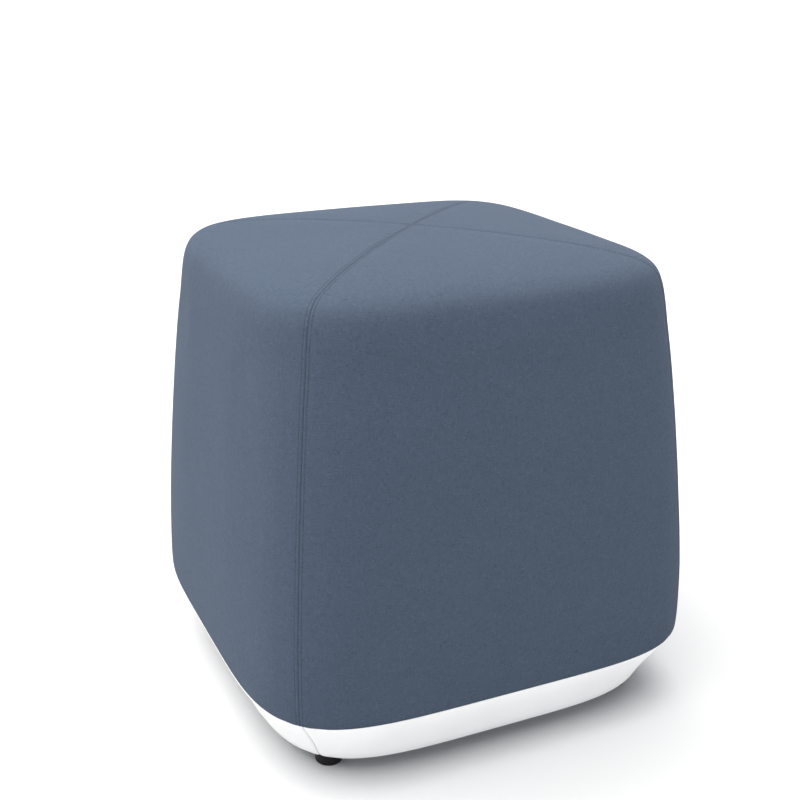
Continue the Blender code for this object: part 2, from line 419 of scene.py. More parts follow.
def sink(distance, dip):
    """A dip that fades away from an edge: its depth, times e^-(distance / breadth)."""
    return -dip.depth * np.exp(-distance / dip.breadth)


def cover_seam_relief(distance):
    """Sharp dip at the seam, low welt beside it, narrow dip under the topstitching, draw-in."""
    return (sink(distance, COVER_SEAM)
            + WELT_HEIGHT * bell(distance, WELT_MIDDLE, WELT_BREADTH)
            - TOPSTITCH_DEPTH * bell(distance, TOPSTITCH, TOPSTITCH_BREADTH)
            + sink(distance, COVER_DRAW_IN))


def base_seam_relief(distance):
    """One dip at the seam, with the cloth rounding into it."""
    return sink(distance, BASE_SEAM) + sink(distance, BASE_DRAW_IN)


for cloth, relief in (("cover", cover_seam_relief), ("base", base_seam_relief)):
    print(cloth, "is drawn in at a seam by", round(-relief(0.0) * 1000, 2), "mm")

# %% Gathers along a seam and the uneven field
WAVE_SEED = 41
FIELD_SEED = WAVE_SEED + 10
GATHER_LENGTHS = (0.011, 0.017, 0.023, 0.037)
GATHER_HEIGHT = 0.00016
GATHER_FROM_SEAM = (0.0012, 0.0050)
GATHER_FADE = 0.010
FIELD_LENGTHS = (0.16, 0.11, 0.21, 0.08)
FIELD_HEIGHT = 0.00030
FIELD_FROM_SEAM = (0.004, 0.05)
FIELD_FROM_HEM = (0.002, 0.04)


def slow_waves(x, y, lengths, seed):
    """Sum of sines of given wave lengths, each in its own seeded direction and phase."""
    draw = np.random.default_rng(seed)
    total = np.zeros(np.broadcast(x, y).shape)
    for length in lengths:
        heading, phase = draw.uniform(0, math.pi), draw.uniform(0, 2 * math.pi)
        travelled = x * math.cos(heading) + y * math.sin(heading)
        total += np.sin(travelled * 2 * math.pi / length + phase)
    return total / len(lengths)


def gathers(along, distance, side):
    """Small gathers along a seam: waves down its length that fade away from it."""
    waves = slow_waves(along, 0, GATHER_LENGTHS, WAVE_SEED + side)
    return (GATHER_HEIGHT * waves * ramp(distance, *GATHER_FROM_SEAM)
            * np.exp(-distance / GATHER_FADE))


def uneven_field(across, along, panel):
    """A panel's own slow unevenness, a fraction of a millimetre."""
    return FIELD_HEIGHT * slow_waves(across, along, FIELD_LENGTHS, FIELD_SEED + panel)


print("gathers, mm:", GATHER_HEIGHT * 1000, "unevenness, mm:", FIELD_HEIGHT * 1000)

# %% [markdown]
# ## Making a panel
# A panel is a filled wedge of the body: the skin outside, two flat walls in the seam planes, and
# a level face at the hem. The skin is a grid over distance and angle, worked out as whole
# arrays. Its own map of the cloth is stored as UV in metres, across from the panel's middle and
# down from the middle of the seat, because the weave runs that way: the side and its triangle
# of the seat are one piece of cloth.

# %% Grid, walls and maps of a panel
WELD_DISTANCE = 1e-6
FAR_FROM_SEAM = 0.1


def cover_skin(along, angle, panel):
    """The cover's skin: smooth body, less its slack, plus swell, seams, gathers and hem."""
    distance = seam_distance(along, angle)
    side = panel + (angle > 0)
    across = np.sin(angle) * np.hypot(*np.moveaxis(body_point(along, angle)[..., :2], -1, 0))
    inside = ramp(distance, *FIELD_FROM_SEAM) * ramp(HEM_ALONG - along, *FIELD_FROM_HEM)
    height = (swell_at(along, angle, panel) - slackness(along, angle)
              + cover_seam_relief(distance)
              + gathers(along, distance, side % PANELS)
              + uneven_field(across, along, panel) * inside
              + sink(HEM_ALONG - along, COVER_HEM))
    return body_point(along, angle) + body_normal(along, angle) * height[..., None]


def base_skin(along, angle, panel):
    """The base's skin: smooth body, plain seams and the hem's step, alike on every panel."""
    distance = seam_distance(along, angle)
    height = base_seam_relief(distance) + sink(along - HEM_ALONG, BASE_HEM)
    return body_point(along, angle) + body_normal(along, angle) * height[..., None]


def across_cloth(points):
    """Distances over the cloth along each row, from the row's middle."""
    steps = np.linalg.norm(np.diff(points, axis=1), axis=-1)
    across = np.hstack([np.zeros((len(points), 1)), np.cumsum(steps, axis=1)])
    middle = points.shape[1] // 2
    return across - across[:, middle:middle + 1]


def panel_piece(name, skin, along, angle, panel, material):
    """A closed panel: its skin as a grid, two seam walls and the face at the hem.

    The seam walls of two neighbours lie in the same plane, so no light gets through a seam.
    """
    rows, columns = angle.shape
    along_grid = np.broadcast_to(along[:, None], angle.shape)
    local = skin(along_grid, angle, panel)
    across = across_cloth(body_point(along_grid, angle))
    hem_row = int(np.argmin(np.abs(along - HEM_ALONG)))
    level = local[hem_row, :, 2].mean()
    local[hem_row, :, 2] = level
    axis_point = np.array([[0, 0, level]])
    points = around(np.vstack([local.reshape(-1, 3), axis_point]), panel)
    at = np.arange(rows * columns).reshape(rows, columns)
    quads = np.stack([at[:-1, :-1], at[1:, :-1], at[1:, 1:], at[:-1, 1:]], axis=-1).reshape(-1, 4)
    axis = rows * columns
    walls = [at[::-1, 0].tolist() + [axis], [axis] + at[:, -1].tolist()]
    hem = [axis] + (at[hem_row, ::-1] if hem_row else at[hem_row]).tolist()
    mesh = bpy.data.meshes.new(name)
    mesh.from_pydata(points.tolist(), [], quads.tolist() + walls + [hem])
    finish_panel(mesh, across, along_grid, seam_distance(along_grid, angle), len(quads))
    mesh.materials.append(material)
    piece = bpy.data.objects.new(name, mesh)
    scene.collection.objects.link(piece)
    return piece


def finish_panel(mesh, across, along, distance, skin_faces):
    """Store the cloth map and the seam distance, shade the skin smooth and its walls flat."""
    corner = np.empty(len(mesh.loops), int)
    mesh.loops.foreach_get("vertex_index", corner)
    u = np.append(across.ravel(), 0)
    v = np.append(along.ravel(), 0)
    weave = mesh.uv_layers.new(name="cloth")
    weave.data.foreach_set("uv", np.stack([u[corner], v[corner]], axis=-1).ravel())
    near = mesh.attributes.new("seam_distance", "FLOAT", "POINT")
    near.data.foreach_set("value", np.append(distance.ravel(), FAR_FROM_SEAM))
    smooth = np.arange(len(mesh.polygons)) < skin_faces
    mesh.polygons.foreach_set("use_smooth", smooth)
    weld(mesh)


def weld(mesh):
    """Merge points that share one place, as a panel's columns do in the middle of the seat."""
    shape = bmesh.new()
    shape.from_mesh(mesh)
    bmesh.ops.remove_doubles(shape, verts=shape.verts, dist=WELD_DISTANCE)
    shape.to_mesh(mesh)
    shape.free()


# %% [markdown]
# ## Materials: a few small helpers
# Every finish is worked out by shader nodes from the cloth map or from Object coordinates, with
# no pictures. These helpers add a node, wire it up and return its output, so a material reads
# as a list of steps. Where a value below holds four numbers, it maps the range from the first
# to the second on to the range from the third to the fourth.

# %% Node helpers
SHADER_INPUTS = {"gloss": "Specular IOR Level", "sheen": "Sheen Weight",
                 "sheen_roughness": "Sheen Roughness", "sheen_tint": "Sheen Tint"}


class Nodes:
    """A material's node tree with short calls: each adds one node and returns its output."""

    def __init__(self, name):
        self.material = bpy.data.materials.new(name)
        self.material.use_nodes = True
        self.tree = self.material.node_tree
        self.shader = self.tree.nodes["Principled BSDF"]

    def add(self, kind, output=0, **settings):
        """Add a node, set its properties, and link or set its inputs, named by i_NUMBER."""
        node = self.tree.nodes.new(kind)
        for key, value in settings.items():
            if not key.startswith("i_"):
                setattr(node, key, value)
        for key, value in settings.items():
            if key.startswith("i_"):
                number = int(key[2:])
                if isinstance(value, bpy.types.NodeSocket):
                    self.tree.links.new(value, node.inputs[number])
                else:
                    node.inputs[number].default_value = value
        return node.outputs[output]

    def math(self, operation, a, b=0.0, c=0.0):
        """One step of arithmetic."""
        return self.add("ShaderNodeMath", operation=operation, i_0=a, i_1=b, i_2=c)

    def noise(self, vector, scale, detail=2.0, roughness=0.5):
        """Smooth noise from 0 to 1 with a middle of a half."""
        return self.add("ShaderNodeTexNoise", i_0=vector, i_2=scale, i_3=detail, i_4=roughness)

    def spread(self, value, low, high, to_low, to_high):
        """Map a range on to another, clamped."""
        return self.add("ShaderNodeMapRange", clamp=True, i_0=value, i_1=low, i_2=high,
                        i_3=to_low, i_4=to_high)

    def join(self, x, y, z=0.0):
        """A vector of three numbers."""
        return self.add("ShaderNodeCombineXYZ", i_0=x, i_1=y, i_2=z)

    def split(self, vector):
        """The three numbers of a vector."""
        node = self.tree.nodes.new("ShaderNodeSeparateXYZ")
        self.tree.links.new(vector, node.inputs[0])
        return node.outputs

    def blend(self, share, a, b):
        """A colour between two."""
        node = self.tree.nodes.new("ShaderNodeMix")
        node.data_type = "RGBA"
        self.tree.links.new(share, node.inputs[0])
        for value, socket in ((a, node.inputs[6]), (b, node.inputs[7])):
            if isinstance(value, bpy.types.NodeSocket):
                self.tree.links.new(value, socket)
            else:
                socket.default_value = (*value, 1.0)
        return node.outputs[2]

    def raise_surface(self, height, depth, strength=1.0):
        """Bump the surface by a height from 0 to 1, of a depth in metres."""
        normal = self.add("ShaderNodeBump", i_0=strength, i_1=depth, i_3=height)
        self.tree.links.new(normal, self.shader.inputs["Normal"])

    def finish(self, colour=None, roughness=None, **constants):
        """Wire colour and roughness to the shader and set its constants."""
        for name, value in (("Base Color", colour), ("Roughness", roughness)):
            if isinstance(value, bpy.types.NodeSocket):
                self.tree.links.new(value, self.shader.inputs[name])
            elif value is not None:
                self.shader.inputs[name].default_value = value
        for name, value in constants.items():
            self.shader.inputs[SHADER_INPUTS[name]].default_value = value
        return self.material


# %% [markdown]
# ## The cover's cloth
# The cover is a wool-like plain weave in slate blue, with yarns that are each a little lighter
# or darker along their length, so from a step away it shows faint short flecks both ways. Warp
# and weft are two sets of rounded threads a millimetre apart that change places like a
# chessboard. Each thread's colour comes from noise that is stretched along it. Threads wander a
# little, and a thread dips at both ends of each stretch that lies on top. Shade is painted into
# the colour, darker down between the threads and down in a seam. A picture of cloth could do
# this too, but the nodes stay sharp at any distance and follow the cloth map round the corners.

# %% Cover cloth
COVER_DARK = (0.0433, 0.0608, 0.0905)
COVER_LIGHT = (0.0733, 0.0970, 0.1395)
COVER_ROUGHNESS = (0.3, 0.7, 0.86, 0.96)
THREAD_PITCH = 0.00095
THREAD_WANDER = 0.0022
WANDER_SCALE = 55.0
FLOAT_DIP = 0.6
WEAVE_DEPTH = 0.00022
WEAVE_STRENGTH = 0.65
PAINTED_VALLEY_SHADE = (0.0, 0.7, 0.80, 1.0)
PAINTED_SEAM_SHADE = (0.0002, 0.0013, 0.88, 1.0)
YARN_STREAK = 0.0065
YARN_STRIDE = 7.31
YARN_TONE = (0.25, 0.75, 0.16, 0.74)
WEAR_SCALE = 9.0
WEAR_TONE = (0.3, 0.7, 0.0, 0.10)
FLECK_LENGTH = 0.0028
FLECK_SHARE = 0.07
FLECK_STRENGTH = 0.55
WARP_FLECKS = 3.0
WEFT_FLECKS = 5.0


def thread_set(nodes, over, along):
    """A thread's number, its roundness and its shade.

    Across a thread, t goes from -1/2 to 1/2, and the roundness is 1 - 4t^2.
    """
    count = nodes.math("DIVIDE", over, THREAD_PITCH)
    number = nodes.math("FLOOR", count)
    across = nodes.math("SUBTRACT", nodes.math("SUBTRACT", count, number), 0.5)
    squared = nodes.math("MULTIPLY", across, across)
    roundness = nodes.math("SUBTRACT", 1.0, nodes.math("MULTIPLY", squared, 4.0))
    stride = nodes.math("MULTIPLY", number, YARN_STRIDE)
    streak = nodes.math("DIVIDE", along, YARN_STREAK)
    shade = nodes.noise(nodes.join(stride, streak), scale=1.0, roughness=0.6)
    return number, roundness, shade


def float_height(nodes, upper, lower):
    """Height of a thread on top: its roundness, less a dip where its neighbours cross it."""
    held_up = nodes.math("MULTIPLY_ADD", lower, FLOAT_DIP, 1 - FLOAT_DIP)
    return nodes.math("MULTIPLY", upper, held_up)


def flecks(nodes, number, along, seed):
    """Short lighter and darker lengths of a thread: one random value for each cell of it."""
    cell = nodes.math("FLOOR", nodes.math("DIVIDE", along, FLECK_LENGTH))
    spot = nodes.add("ShaderNodeTexWhiteNoise", noise_dimensions="3D",
                     i_0=nodes.join(number, cell, seed))
    light = nodes.spread(spot, 1 - FLECK_SHARE, 1 - FLECK_SHARE / 2, 0.0, 1.0)
    dark = nodes.spread(spot, FLECK_SHARE / 2, FLECK_SHARE, 1.0, 0.0)
    return nodes.math("SUBTRACT", light, dark)


def make_cover_cloth():
    """Plain weave: two thread sets, the upper one chosen square by square.

    Shade is painted into the colour, down between the threads and in a seam.
    """
    nodes = Nodes("cover_cloth")
    place = nodes.add("ShaderNodeUVMap", uv_map="cloth")
    straight_across, straight_down, _ = nodes.split(place)
    wander = nodes.noise(place, WANDER_SCALE)
    across = nodes.math("MULTIPLY_ADD", wander, THREAD_WANDER, straight_across)
    down = nodes.math("MULTIPLY_ADD", wander, -THREAD_WANDER, straight_down)
    warp_number, warp_round, warp_shade = thread_set(nodes, across, down)
    weft_number, weft_round, weft_shade = thread_set(nodes, down, across)
    square = nodes.math("ADD", warp_number, weft_number)
    warp_over = nodes.math("FLOORED_MODULO", square, 2.0)
    warp_float = float_height(nodes, warp_round, weft_round)
    weft_float = float_height(nodes, weft_round, warp_round)
    height = nodes.add("ShaderNodeMix", i_0=warp_over, i_2=weft_float, i_3=warp_float)
    shade = nodes.add("ShaderNodeMix", i_0=warp_over, i_2=weft_shade, i_3=warp_shade)
    wear = nodes.noise(nodes.join(across, down), WEAR_SCALE, detail=3.0, roughness=0.55)
    warp_fleck = flecks(nodes, warp_number, down, WARP_FLECKS)
    weft_fleck = flecks(nodes, weft_number, across, WEFT_FLECKS)
    fleck = nodes.add("ShaderNodeMix", i_0=warp_over, i_2=weft_fleck, i_3=warp_fleck)
    tone = nodes.math("ADD", nodes.spread(shade, *YARN_TONE), nodes.spread(wear, *WEAR_TONE))
    tone = nodes.math("MULTIPLY_ADD", fleck, FLECK_STRENGTH, tone)
    # Painted shade: the colour is darker where the weave is low, down between the threads.
    painted_shade = nodes.spread(height, *PAINTED_VALLEY_SHADE)
    # Painted shade: darker still close to a seam, where the cloth folds in.
    near = nodes.add("ShaderNodeAttribute", output=2, attribute_name="seam_distance")
    painted_shade = nodes.math("MULTIPLY", painted_shade, nodes.spread(near, *PAINTED_SEAM_SHADE))
    colour = nodes.blend(tone, COVER_DARK, COVER_LIGHT)
    colour = nodes.add("ShaderNodeVectorMath", operation="SCALE", i_0=colour, i_3=painted_shade)
    nodes.raise_surface(height, WEAVE_DEPTH, WEAVE_STRENGTH)
    rough = nodes.spread(shade, *COVER_ROUGHNESS)
    return nodes.finish(colour, rough, sheen=0.04, sheen_roughness=0.45,
                        sheen_tint=(0.72, 0.82, 1.0, 1.0), gloss=0.09)


COVER_CLOTH = make_cover_cloth()
print("cover cloth: threads", THREAD_PITCH * 1000, "mm apart")

# %% [markdown]
# ## The base's coated cloth
# Below the hem the pouf wears a very pale coated cloth, the kind that wipes clean. It has a fine
# pebbled grain with a soft gloss on it. Object coordinates are right for it, because a pressed
# grain has no direction that would have to follow the seams. Only the grey line in a seam has
# to, so it reads the distance to the seam that each panel stores. That grey is partly painted
# shade in the fold and partly soil gathered there.

# %% Base cloth
BASE_PALE = (0.830, 0.832, 0.838)
BASE_PALER = (0.868, 0.870, 0.876)
BASE_SEAM_SHADE_AND_SOIL = (0.58, 0.58, 0.59)
SEAM_SHADE_AND_SOIL_SHARE = (0.0003, 0.0014, 0.75, 0.0)
BASE_TONE_SCALE = 14.0
BASE_TONE = (0.35, 0.65, 0.0, 1.0)
PEBBLE_SCALE = 900.0
PEBBLE_SHARE = -0.8
GRAIN_SCALE = 2600.0
GRAIN_SHARE = 0.35
PEBBLE_DEPTH = 0.00010
PEBBLE_STRENGTH = 0.5
BASE_SHINE_SCALE = 40.0
BASE_ROUGHNESS = (0.3, 0.7, 0.48, 0.62)


def make_base_cloth():
    """Pebbled grain from cells, a slow change of tone and of gloss, and grey in the seams.

    The grey is partly painted shade in the fold and partly soil.
    """
    nodes = Nodes("base_cloth")
    place = nodes.add("ShaderNodeTexCoord", output=3)
    cells = nodes.add("ShaderNodeTexVoronoi", feature="SMOOTH_F1", i_0=place, i_2=PEBBLE_SCALE)
    pebbles = nodes.math("MULTIPLY", cells, PEBBLE_SHARE)
    grain = nodes.math("MULTIPLY", nodes.noise(place, GRAIN_SCALE), GRAIN_SHARE)
    tone = nodes.noise(place, BASE_TONE_SCALE, detail=4.0, roughness=0.6)
    colour = nodes.blend(nodes.spread(tone, *BASE_TONE), BASE_PALE, BASE_PALER)
    # Partly painted shade, partly soil: the colour turns grey within a millimetre or so of a seam.
    near = nodes.add("ShaderNodeAttribute", output=2, attribute_name="seam_distance")
    colour = nodes.blend(nodes.spread(near, *SEAM_SHADE_AND_SOIL_SHARE), colour, BASE_SEAM_SHADE_AND_SOIL)
    nodes.raise_surface(nodes.math("ADD", pebbles, grain), PEBBLE_DEPTH, PEBBLE_STRENGTH)
    rough = nodes.spread(nodes.noise(place, BASE_SHINE_SCALE, detail=3.0), *BASE_ROUGHNESS)
    return nodes.finish(colour, rough, gloss=0.4)


BASE_CLOTH = make_base_cloth()
print("base cloth: pebbles", round(1000 / PEBBLE_SCALE, 1), "mm across")

# %% [markdown]
# ## The four cover panels
# All four are one pattern piece, so one call makes each of them, a quarter turn on. The rows
# are even down the profile, and closer in the middle of the seat and towards the hem.

# %% Make the cover panels
SEAT_ROWS = np.array([0.0, 0.4, 0.9, 1.6, 2.5]) / 1000
COVER_ROW_STEP = 0.0031
COVER_FIELD_COLUMNS = 40
HEM_ROWS = np.array([6.0, 4.0, 2.6, 1.7, 1.1, 0.7, 0.35, 0.0]) / 1000
SIDES = ("right", "back", "left", "front")


def cover_rows():
    """Distances down the profile: close in the seat's middle, then even, close at the hem."""
    last = HEM_ALONG - HEM_ROWS[0]
    count = int(round((last - SEAT_ROWS[-1]) / COVER_ROW_STEP))
    even = np.linspace(SEAT_ROWS[-1], last, count + 1)[1:-1]
    return np.concatenate([SEAT_ROWS, even, HEM_ALONG - HEM_ROWS])


cover_along = cover_rows()
cover_angle = panel_angles(cover_along, COVER_FIELD_COLUMNS, COVER_SEAM_COLUMNS)
for panel, side in enumerate(SIDES):
    piece = panel_piece("cover_" + side, cover_skin, cover_along, cover_angle, panel, COVER_CLOTH)
    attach(piece, "root")
    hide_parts("cover_panel_" + side)
print("a cover panel:", cover_angle.shape, "points")

# %% [markdown]
# ## The four base panels
# The base is cut and sewn like the cover, upside down: four panels that meet in seams down the
# tucked-in corners and across the underside. It is the same function with another skin, and its
# rows start at the hem.

# %% Make the base panels
BASE_FIELD_COLUMNS = 22
TUCK_ROWS = 36
UNDER_ROWS = 16
UNDERSIDE_ALONG = along_to("underside")


def base_rows():
    """Distances down the profile from the hem: its own rows, the tuck, then the flat underside."""
    tuck = np.linspace(HEM_ALONG + HEM_ROWS[0], UNDERSIDE_ALONG, TUCK_ROWS)[1:]
    under = np.linspace(UNDERSIDE_ALONG, PROFILE_LENGTH, UNDER_ROWS)[1:]
    return np.concatenate([HEM_ALONG + HEM_ROWS[::-1], tuck, under])


base_along = base_rows()
base_angle = panel_angles(base_along, BASE_FIELD_COLUMNS, BASE_SEAM_COLUMNS)
for panel, side in enumerate(SIDES):
    piece = panel_piece("base_" + side, base_skin, base_along, base_angle, panel, BASE_CLOTH)
    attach(piece, "root")
    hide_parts("base_panel_" + side)
print("a base panel:", base_angle.shape, "points")

# %% [markdown]
# ## The topstitching
# A row of stitches runs either side of each seam of the cover, from the middle of the seat to
# the hem. A stitch is a short length of thread that rises out of one needle hole and dives into
# the next. It could be a bump in the cloth, but real thread catches the light along its top.
# One small mesh is worked out for a stitch and set down at every pitch along the row, as one
# array: places, directions and normals are read off the cover's own skin.

# %% Thread
THREAD_DARK = (0.037, 0.050, 0.072)
THREAD_LIGHT = (0.058, 0.077, 0.108)
TWIST_SCALE = 3.0
TWIST_WOBBLE = 0.4
TWIST_DEPTH = 0.00006
TWIST_STRENGTH = 0.6


def make_thread():
    """Tightly twisted thread: slanting ridges round it, a little darker than the cloth.

    Shade is painted darker in the grooves of the twist, and the thread's darker colour partly
    stands in for the shade of the dip it lies in.
    """
    nodes = Nodes("thread")
    place = nodes.add("ShaderNodeUVMap", uv_map="thread")
    ridges = nodes.add("ShaderNodeTexWave", i_0=place, i_1=TWIST_SCALE, i_2=TWIST_WOBBLE)
    # Painted shade: the colour is darker in the grooves of the twist, where the ridges are low.
    colour = nodes.blend(ridges, THREAD_DARK, THREAD_LIGHT)
    nodes.raise_surface(ridges, TWIST_DEPTH, TWIST_STRENGTH)
    return nodes.finish(colour, roughness=0.6, gloss=0.4)


THREAD = make_thread()
print("thread: colours", THREAD_DARK, "to", THREAD_LIGHT)

# %% One stitch
THREAD_RADIUS = 0.00030
STITCH_LENGTH = 0.0034
STITCH_PITCH = 0.0040
STITCH_LIFT = 0.35
STITCH_SINK = 2.6
STITCH_TAPER = 0.55
THREAD_RINGS = 6
THREAD_SIDES = 6


def stitch_tube(start, heading, normal):
    """Tubes along short arcs: a circle carried along an arc that sinks at both its ends.

    start is each stitch's middle, heading its direction and normal its way up. Ring by ring the
    share goes from -1 to 1. The arc sinks by its fourth power and thins by its sixth.
    """
    share = np.linspace(-1, 1, THREAD_RINGS)
    turn = np.arange(THREAD_SIDES) / THREAD_SIDES * 2 * math.pi
    side = np.cross(normal, heading)
    lift = THREAD_RADIUS * (STITCH_LIFT - STITCH_SINK * share ** 4)
    thin = THREAD_RADIUS * (1 - STITCH_TAPER * share ** 6)
    centre = (start[:, None] + heading[:, None] * (share * STITCH_LENGTH / 2)[:, None]
              + normal[:, None] * lift[:, None])
    ring = (side[:, None, None] * (np.cos(turn) * thin[:, None])[..., None]
            + normal[:, None, None] * (np.sin(turn) * thin[:, None])[..., None])
    return centre[:, :, None] + ring


def stitch_faces(count):
    """Quads round each tube and a cap at both its ends."""
    at = np.arange(THREAD_RINGS * THREAD_SIDES).reshape(THREAD_RINGS, THREAD_SIDES)
    right = np.roll(at, -1, axis=1)
    quads = np.stack([at[:-1], right[:-1], right[1:], at[1:]], axis=-1).reshape(-1, 4)
    first = np.arange(count)[:, None] * THREAD_RINGS * THREAD_SIDES
    tube = (first[:, :, None] + quads[None]).reshape(-1, 4).tolist()
    caps = np.vstack([at[0, ::-1], at[-1]])
    return tube + (first[:, :, None] + caps[None]).reshape(-1, THREAD_SIDES).tolist()


print("a stitch:", STITCH_LENGTH * 1000, "mm long,", THREAD_RINGS * THREAD_SIDES, "points")

# %% Rows of stitches along a seam
LARGEST_SINE = 0.7


def topstitch_angle(along, sign):
    """A row's angle: 45 degrees less the arcsine of its distance over the corner's reach."""
    half_width, _, squareness = (np.interp(along, ALONG, PROFILE[:, k]) for k in range(3))
    corner = reach(half_width, squareness, SEAM_ANGLE)
    return sign * (SEAM_ANGLE - np.arcsin(np.minimum(TOPSTITCH / corner, LARGEST_SINE)))


def topstitch_row(panel, sign):
    """Middles, headings and normals of the stitches of one row, read off the skin."""
    first = TOPSTITCH / math.sin(SEAM_ANGLE) + STITCH_LENGTH / 2
    along = np.arange(first, HEM_ALONG - STITCH_LENGTH, STITCH_PITCH)
    angle = topstitch_angle(along, sign)
    ahead, behind = (cover_skin(along + step, topstitch_angle(along + step, sign), panel)
                     for step in (ALONG_STEP, -ALONG_STEP))
    heading = (ahead - behind) / np.linalg.norm(ahead - behind, axis=-1, keepdims=True)
    normal = body_normal(along, angle)
    normal = normal - heading * (normal * heading).sum(axis=-1, keepdims=True)
    normal = normal / np.linalg.norm(normal, axis=-1, keepdims=True)
    middle = cover_skin(along, angle, panel)
    return tuple(around(value, panel) for value in (middle, heading, normal))


def seam_stitching(corner):
    """Both rows of stitches of one seam, as one mesh."""
    left = topstitch_row(corner, 1)
    right = topstitch_row((corner + 1) % PANELS, -1)
    tubes = stitch_tube(*(np.vstack(pair) for pair in zip(left, right)))
    mesh = bpy.data.meshes.new("topstitching")
    mesh.from_pydata(tubes.reshape(-1, 3).tolist(), [], stitch_faces(len(tubes)))
    corners = np.empty(len(mesh.loops), int)
    mesh.loops.foreach_get("vertex_index", corners)
    ring, turn = np.divmod(corners % (THREAD_RINGS * THREAD_SIDES), THREAD_SIDES)
    uv = mesh.uv_layers.new(name="thread")
    turned = np.stack([turn / THREAD_SIDES, ring / THREAD_RINGS * 2], axis=-1)
    uv.data.foreach_set("uv", turned.ravel())
    mesh.polygons.foreach_set("use_smooth", np.ones(len(mesh.polygons), bool))
    mesh.update()
    mesh.materials.append(THREAD)
    return mesh, len(tubes)


CORNERS = ("back_right", "back_left", "front_left", "front_right")
for corner, corner_name in enumerate(CORNERS):
    mesh, count = seam_stitching(corner)
    piece = bpy.data.objects.new("topstitching_" + corner_name, mesh)
    scene.collection.objects.link(piece)
    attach(piece, "root")
print("stitches along a seam:", count)

# %% [markdown]
# ## The glides
# A glide is a moulded foot: a flange that lies against the base, and a slightly narrower foot
# with a rounded lower edge. It is turned, so it is a profile carried round an upright axis. The
# screw recess in its sole is a shallow dish.

# %% Glide plastic
GLIDE_BLACK = (0.0055, 0.0045, 0.0055)
GLIDE_GREY = (0.018, 0.017, 0.018)
GLIDE_ROUGHNESS = (0.3, 0.7, 0.38, 0.52)
MOULD_GRAIN_SCALE = 3800.0
MOULD_GRAIN_DEPTH = 0.00005
MOULD_GRAIN_STRENGTH = 0.5
RUB_SCALE = 420.0
RUB_PATCHES = (0.45, 0.65, 0.0, 1.0)
RUB_HEIGHT = (0.0, 0.0022, 1.0, 0.0)


def make_glide_plastic():
    """Black moulded plastic: a fine spark-eroded grain, paler where the sole has rubbed."""
    nodes = Nodes("glide_plastic")
    place = nodes.add("ShaderNodeTexCoord", output=3)
    grain = nodes.noise(place, MOULD_GRAIN_SCALE)
    low = nodes.spread(nodes.split(place)[2], *RUB_HEIGHT)
    patches = nodes.spread(nodes.noise(place, RUB_SCALE, detail=3.0), *RUB_PATCHES)
    colour = nodes.blend(nodes.math("MULTIPLY", low, patches), GLIDE_BLACK, GLIDE_GREY)
    nodes.raise_surface(grain, MOULD_GRAIN_DEPTH, MOULD_GRAIN_STRENGTH)
    return nodes.finish(colour, nodes.spread(grain, *GLIDE_ROUGHNESS), gloss=0.22)


GLIDE_PLASTIC = make_glide_plastic()
print("glide plastic: grain", round(1000 / MOULD_GRAIN_SCALE, 2), "mm across")

# %% Make the glides
FLANGE_THICKNESS = 0.0030
FLANGE_CHAMFER = 0.0006
FOOT_STEP = 0.0010
FOOT_CORNER = 0.0003
FOOT_EDGE = 0.0020
DISH_RADIUS = 0.0046
DISH_EDGE = 0.0004
DISH_SLOPE = 0.0010
DISH_DEPTH = 0.0012
GLIDE_SIDES = 72
SHARP_FROM = math.radians(40)


def arc(centre, radius, start, end, count):
    """Points on an arc in the plane of a profile, angles in degrees."""
    turn = np.radians(np.linspace(start, end, count))
    return np.array(centre) + radius * np.stack([np.cos(turn), np.sin(turn)], axis=-1)


def glide_profile():
    """Radius and height of a glide's outline, from the middle of its top to that of its sole."""
    radius = GLIDE_DIAMETER / 2
    foot = radius - FOOT_STEP
    top = GLIDE_HEIGHT - PIECE_GAP
    under = top - FLANGE_THICKNESS
    step = FLANGE_CHAMFER
    return np.vstack([
        [[0, top]],
        arc((radius - step, top - step), step, 90, 0, 6),
        arc((radius - step / 2, under + step / 2), step / 2, 0, -90, 4),
        arc((foot + FOOT_CORNER, under - FOOT_CORNER), FOOT_CORNER, 90, 180, 4),
        arc((foot - FOOT_EDGE, FOOT_EDGE), FOOT_EDGE, 0, -90, 10),
        [[DISH_RADIUS + DISH_EDGE, 0]],
        arc((DISH_RADIUS, DISH_EDGE), DISH_EDGE, 270, 180, 4)[1:],
        [[DISH_RADIUS - DISH_SLOPE, DISH_DEPTH], [0, DISH_DEPTH]],
    ])


def turned_mesh(name, profile, centre):
    """A profile carried round an upright axis at centre, closed by a point at either end."""
    turn = np.arange(GLIDE_SIDES) / GLIDE_SIDES * 2 * math.pi
    rim = profile[1:-1]
    x = rim[:, :1] * np.cos(turn) + centre[0]
    y = rim[:, :1] * np.sin(turn) + centre[1]
    z = np.broadcast_to(rim[:, 1:], x.shape)
    ends = [[centre[0], centre[1], profile[0, 1]]], [[centre[0], centre[1], profile[-1, 1]]]
    points = np.vstack([ends[0], np.stack([x, y, z], axis=-1).reshape(-1, 3), ends[1]])
    mesh = bpy.data.meshes.new(name)
    mesh.from_pydata(points.tolist(), [], closed_grid_faces(len(rim), GLIDE_SIDES))
    mesh.shade_smooth()
    mesh.set_sharp_from_angle(angle=SHARP_FROM)
    return mesh


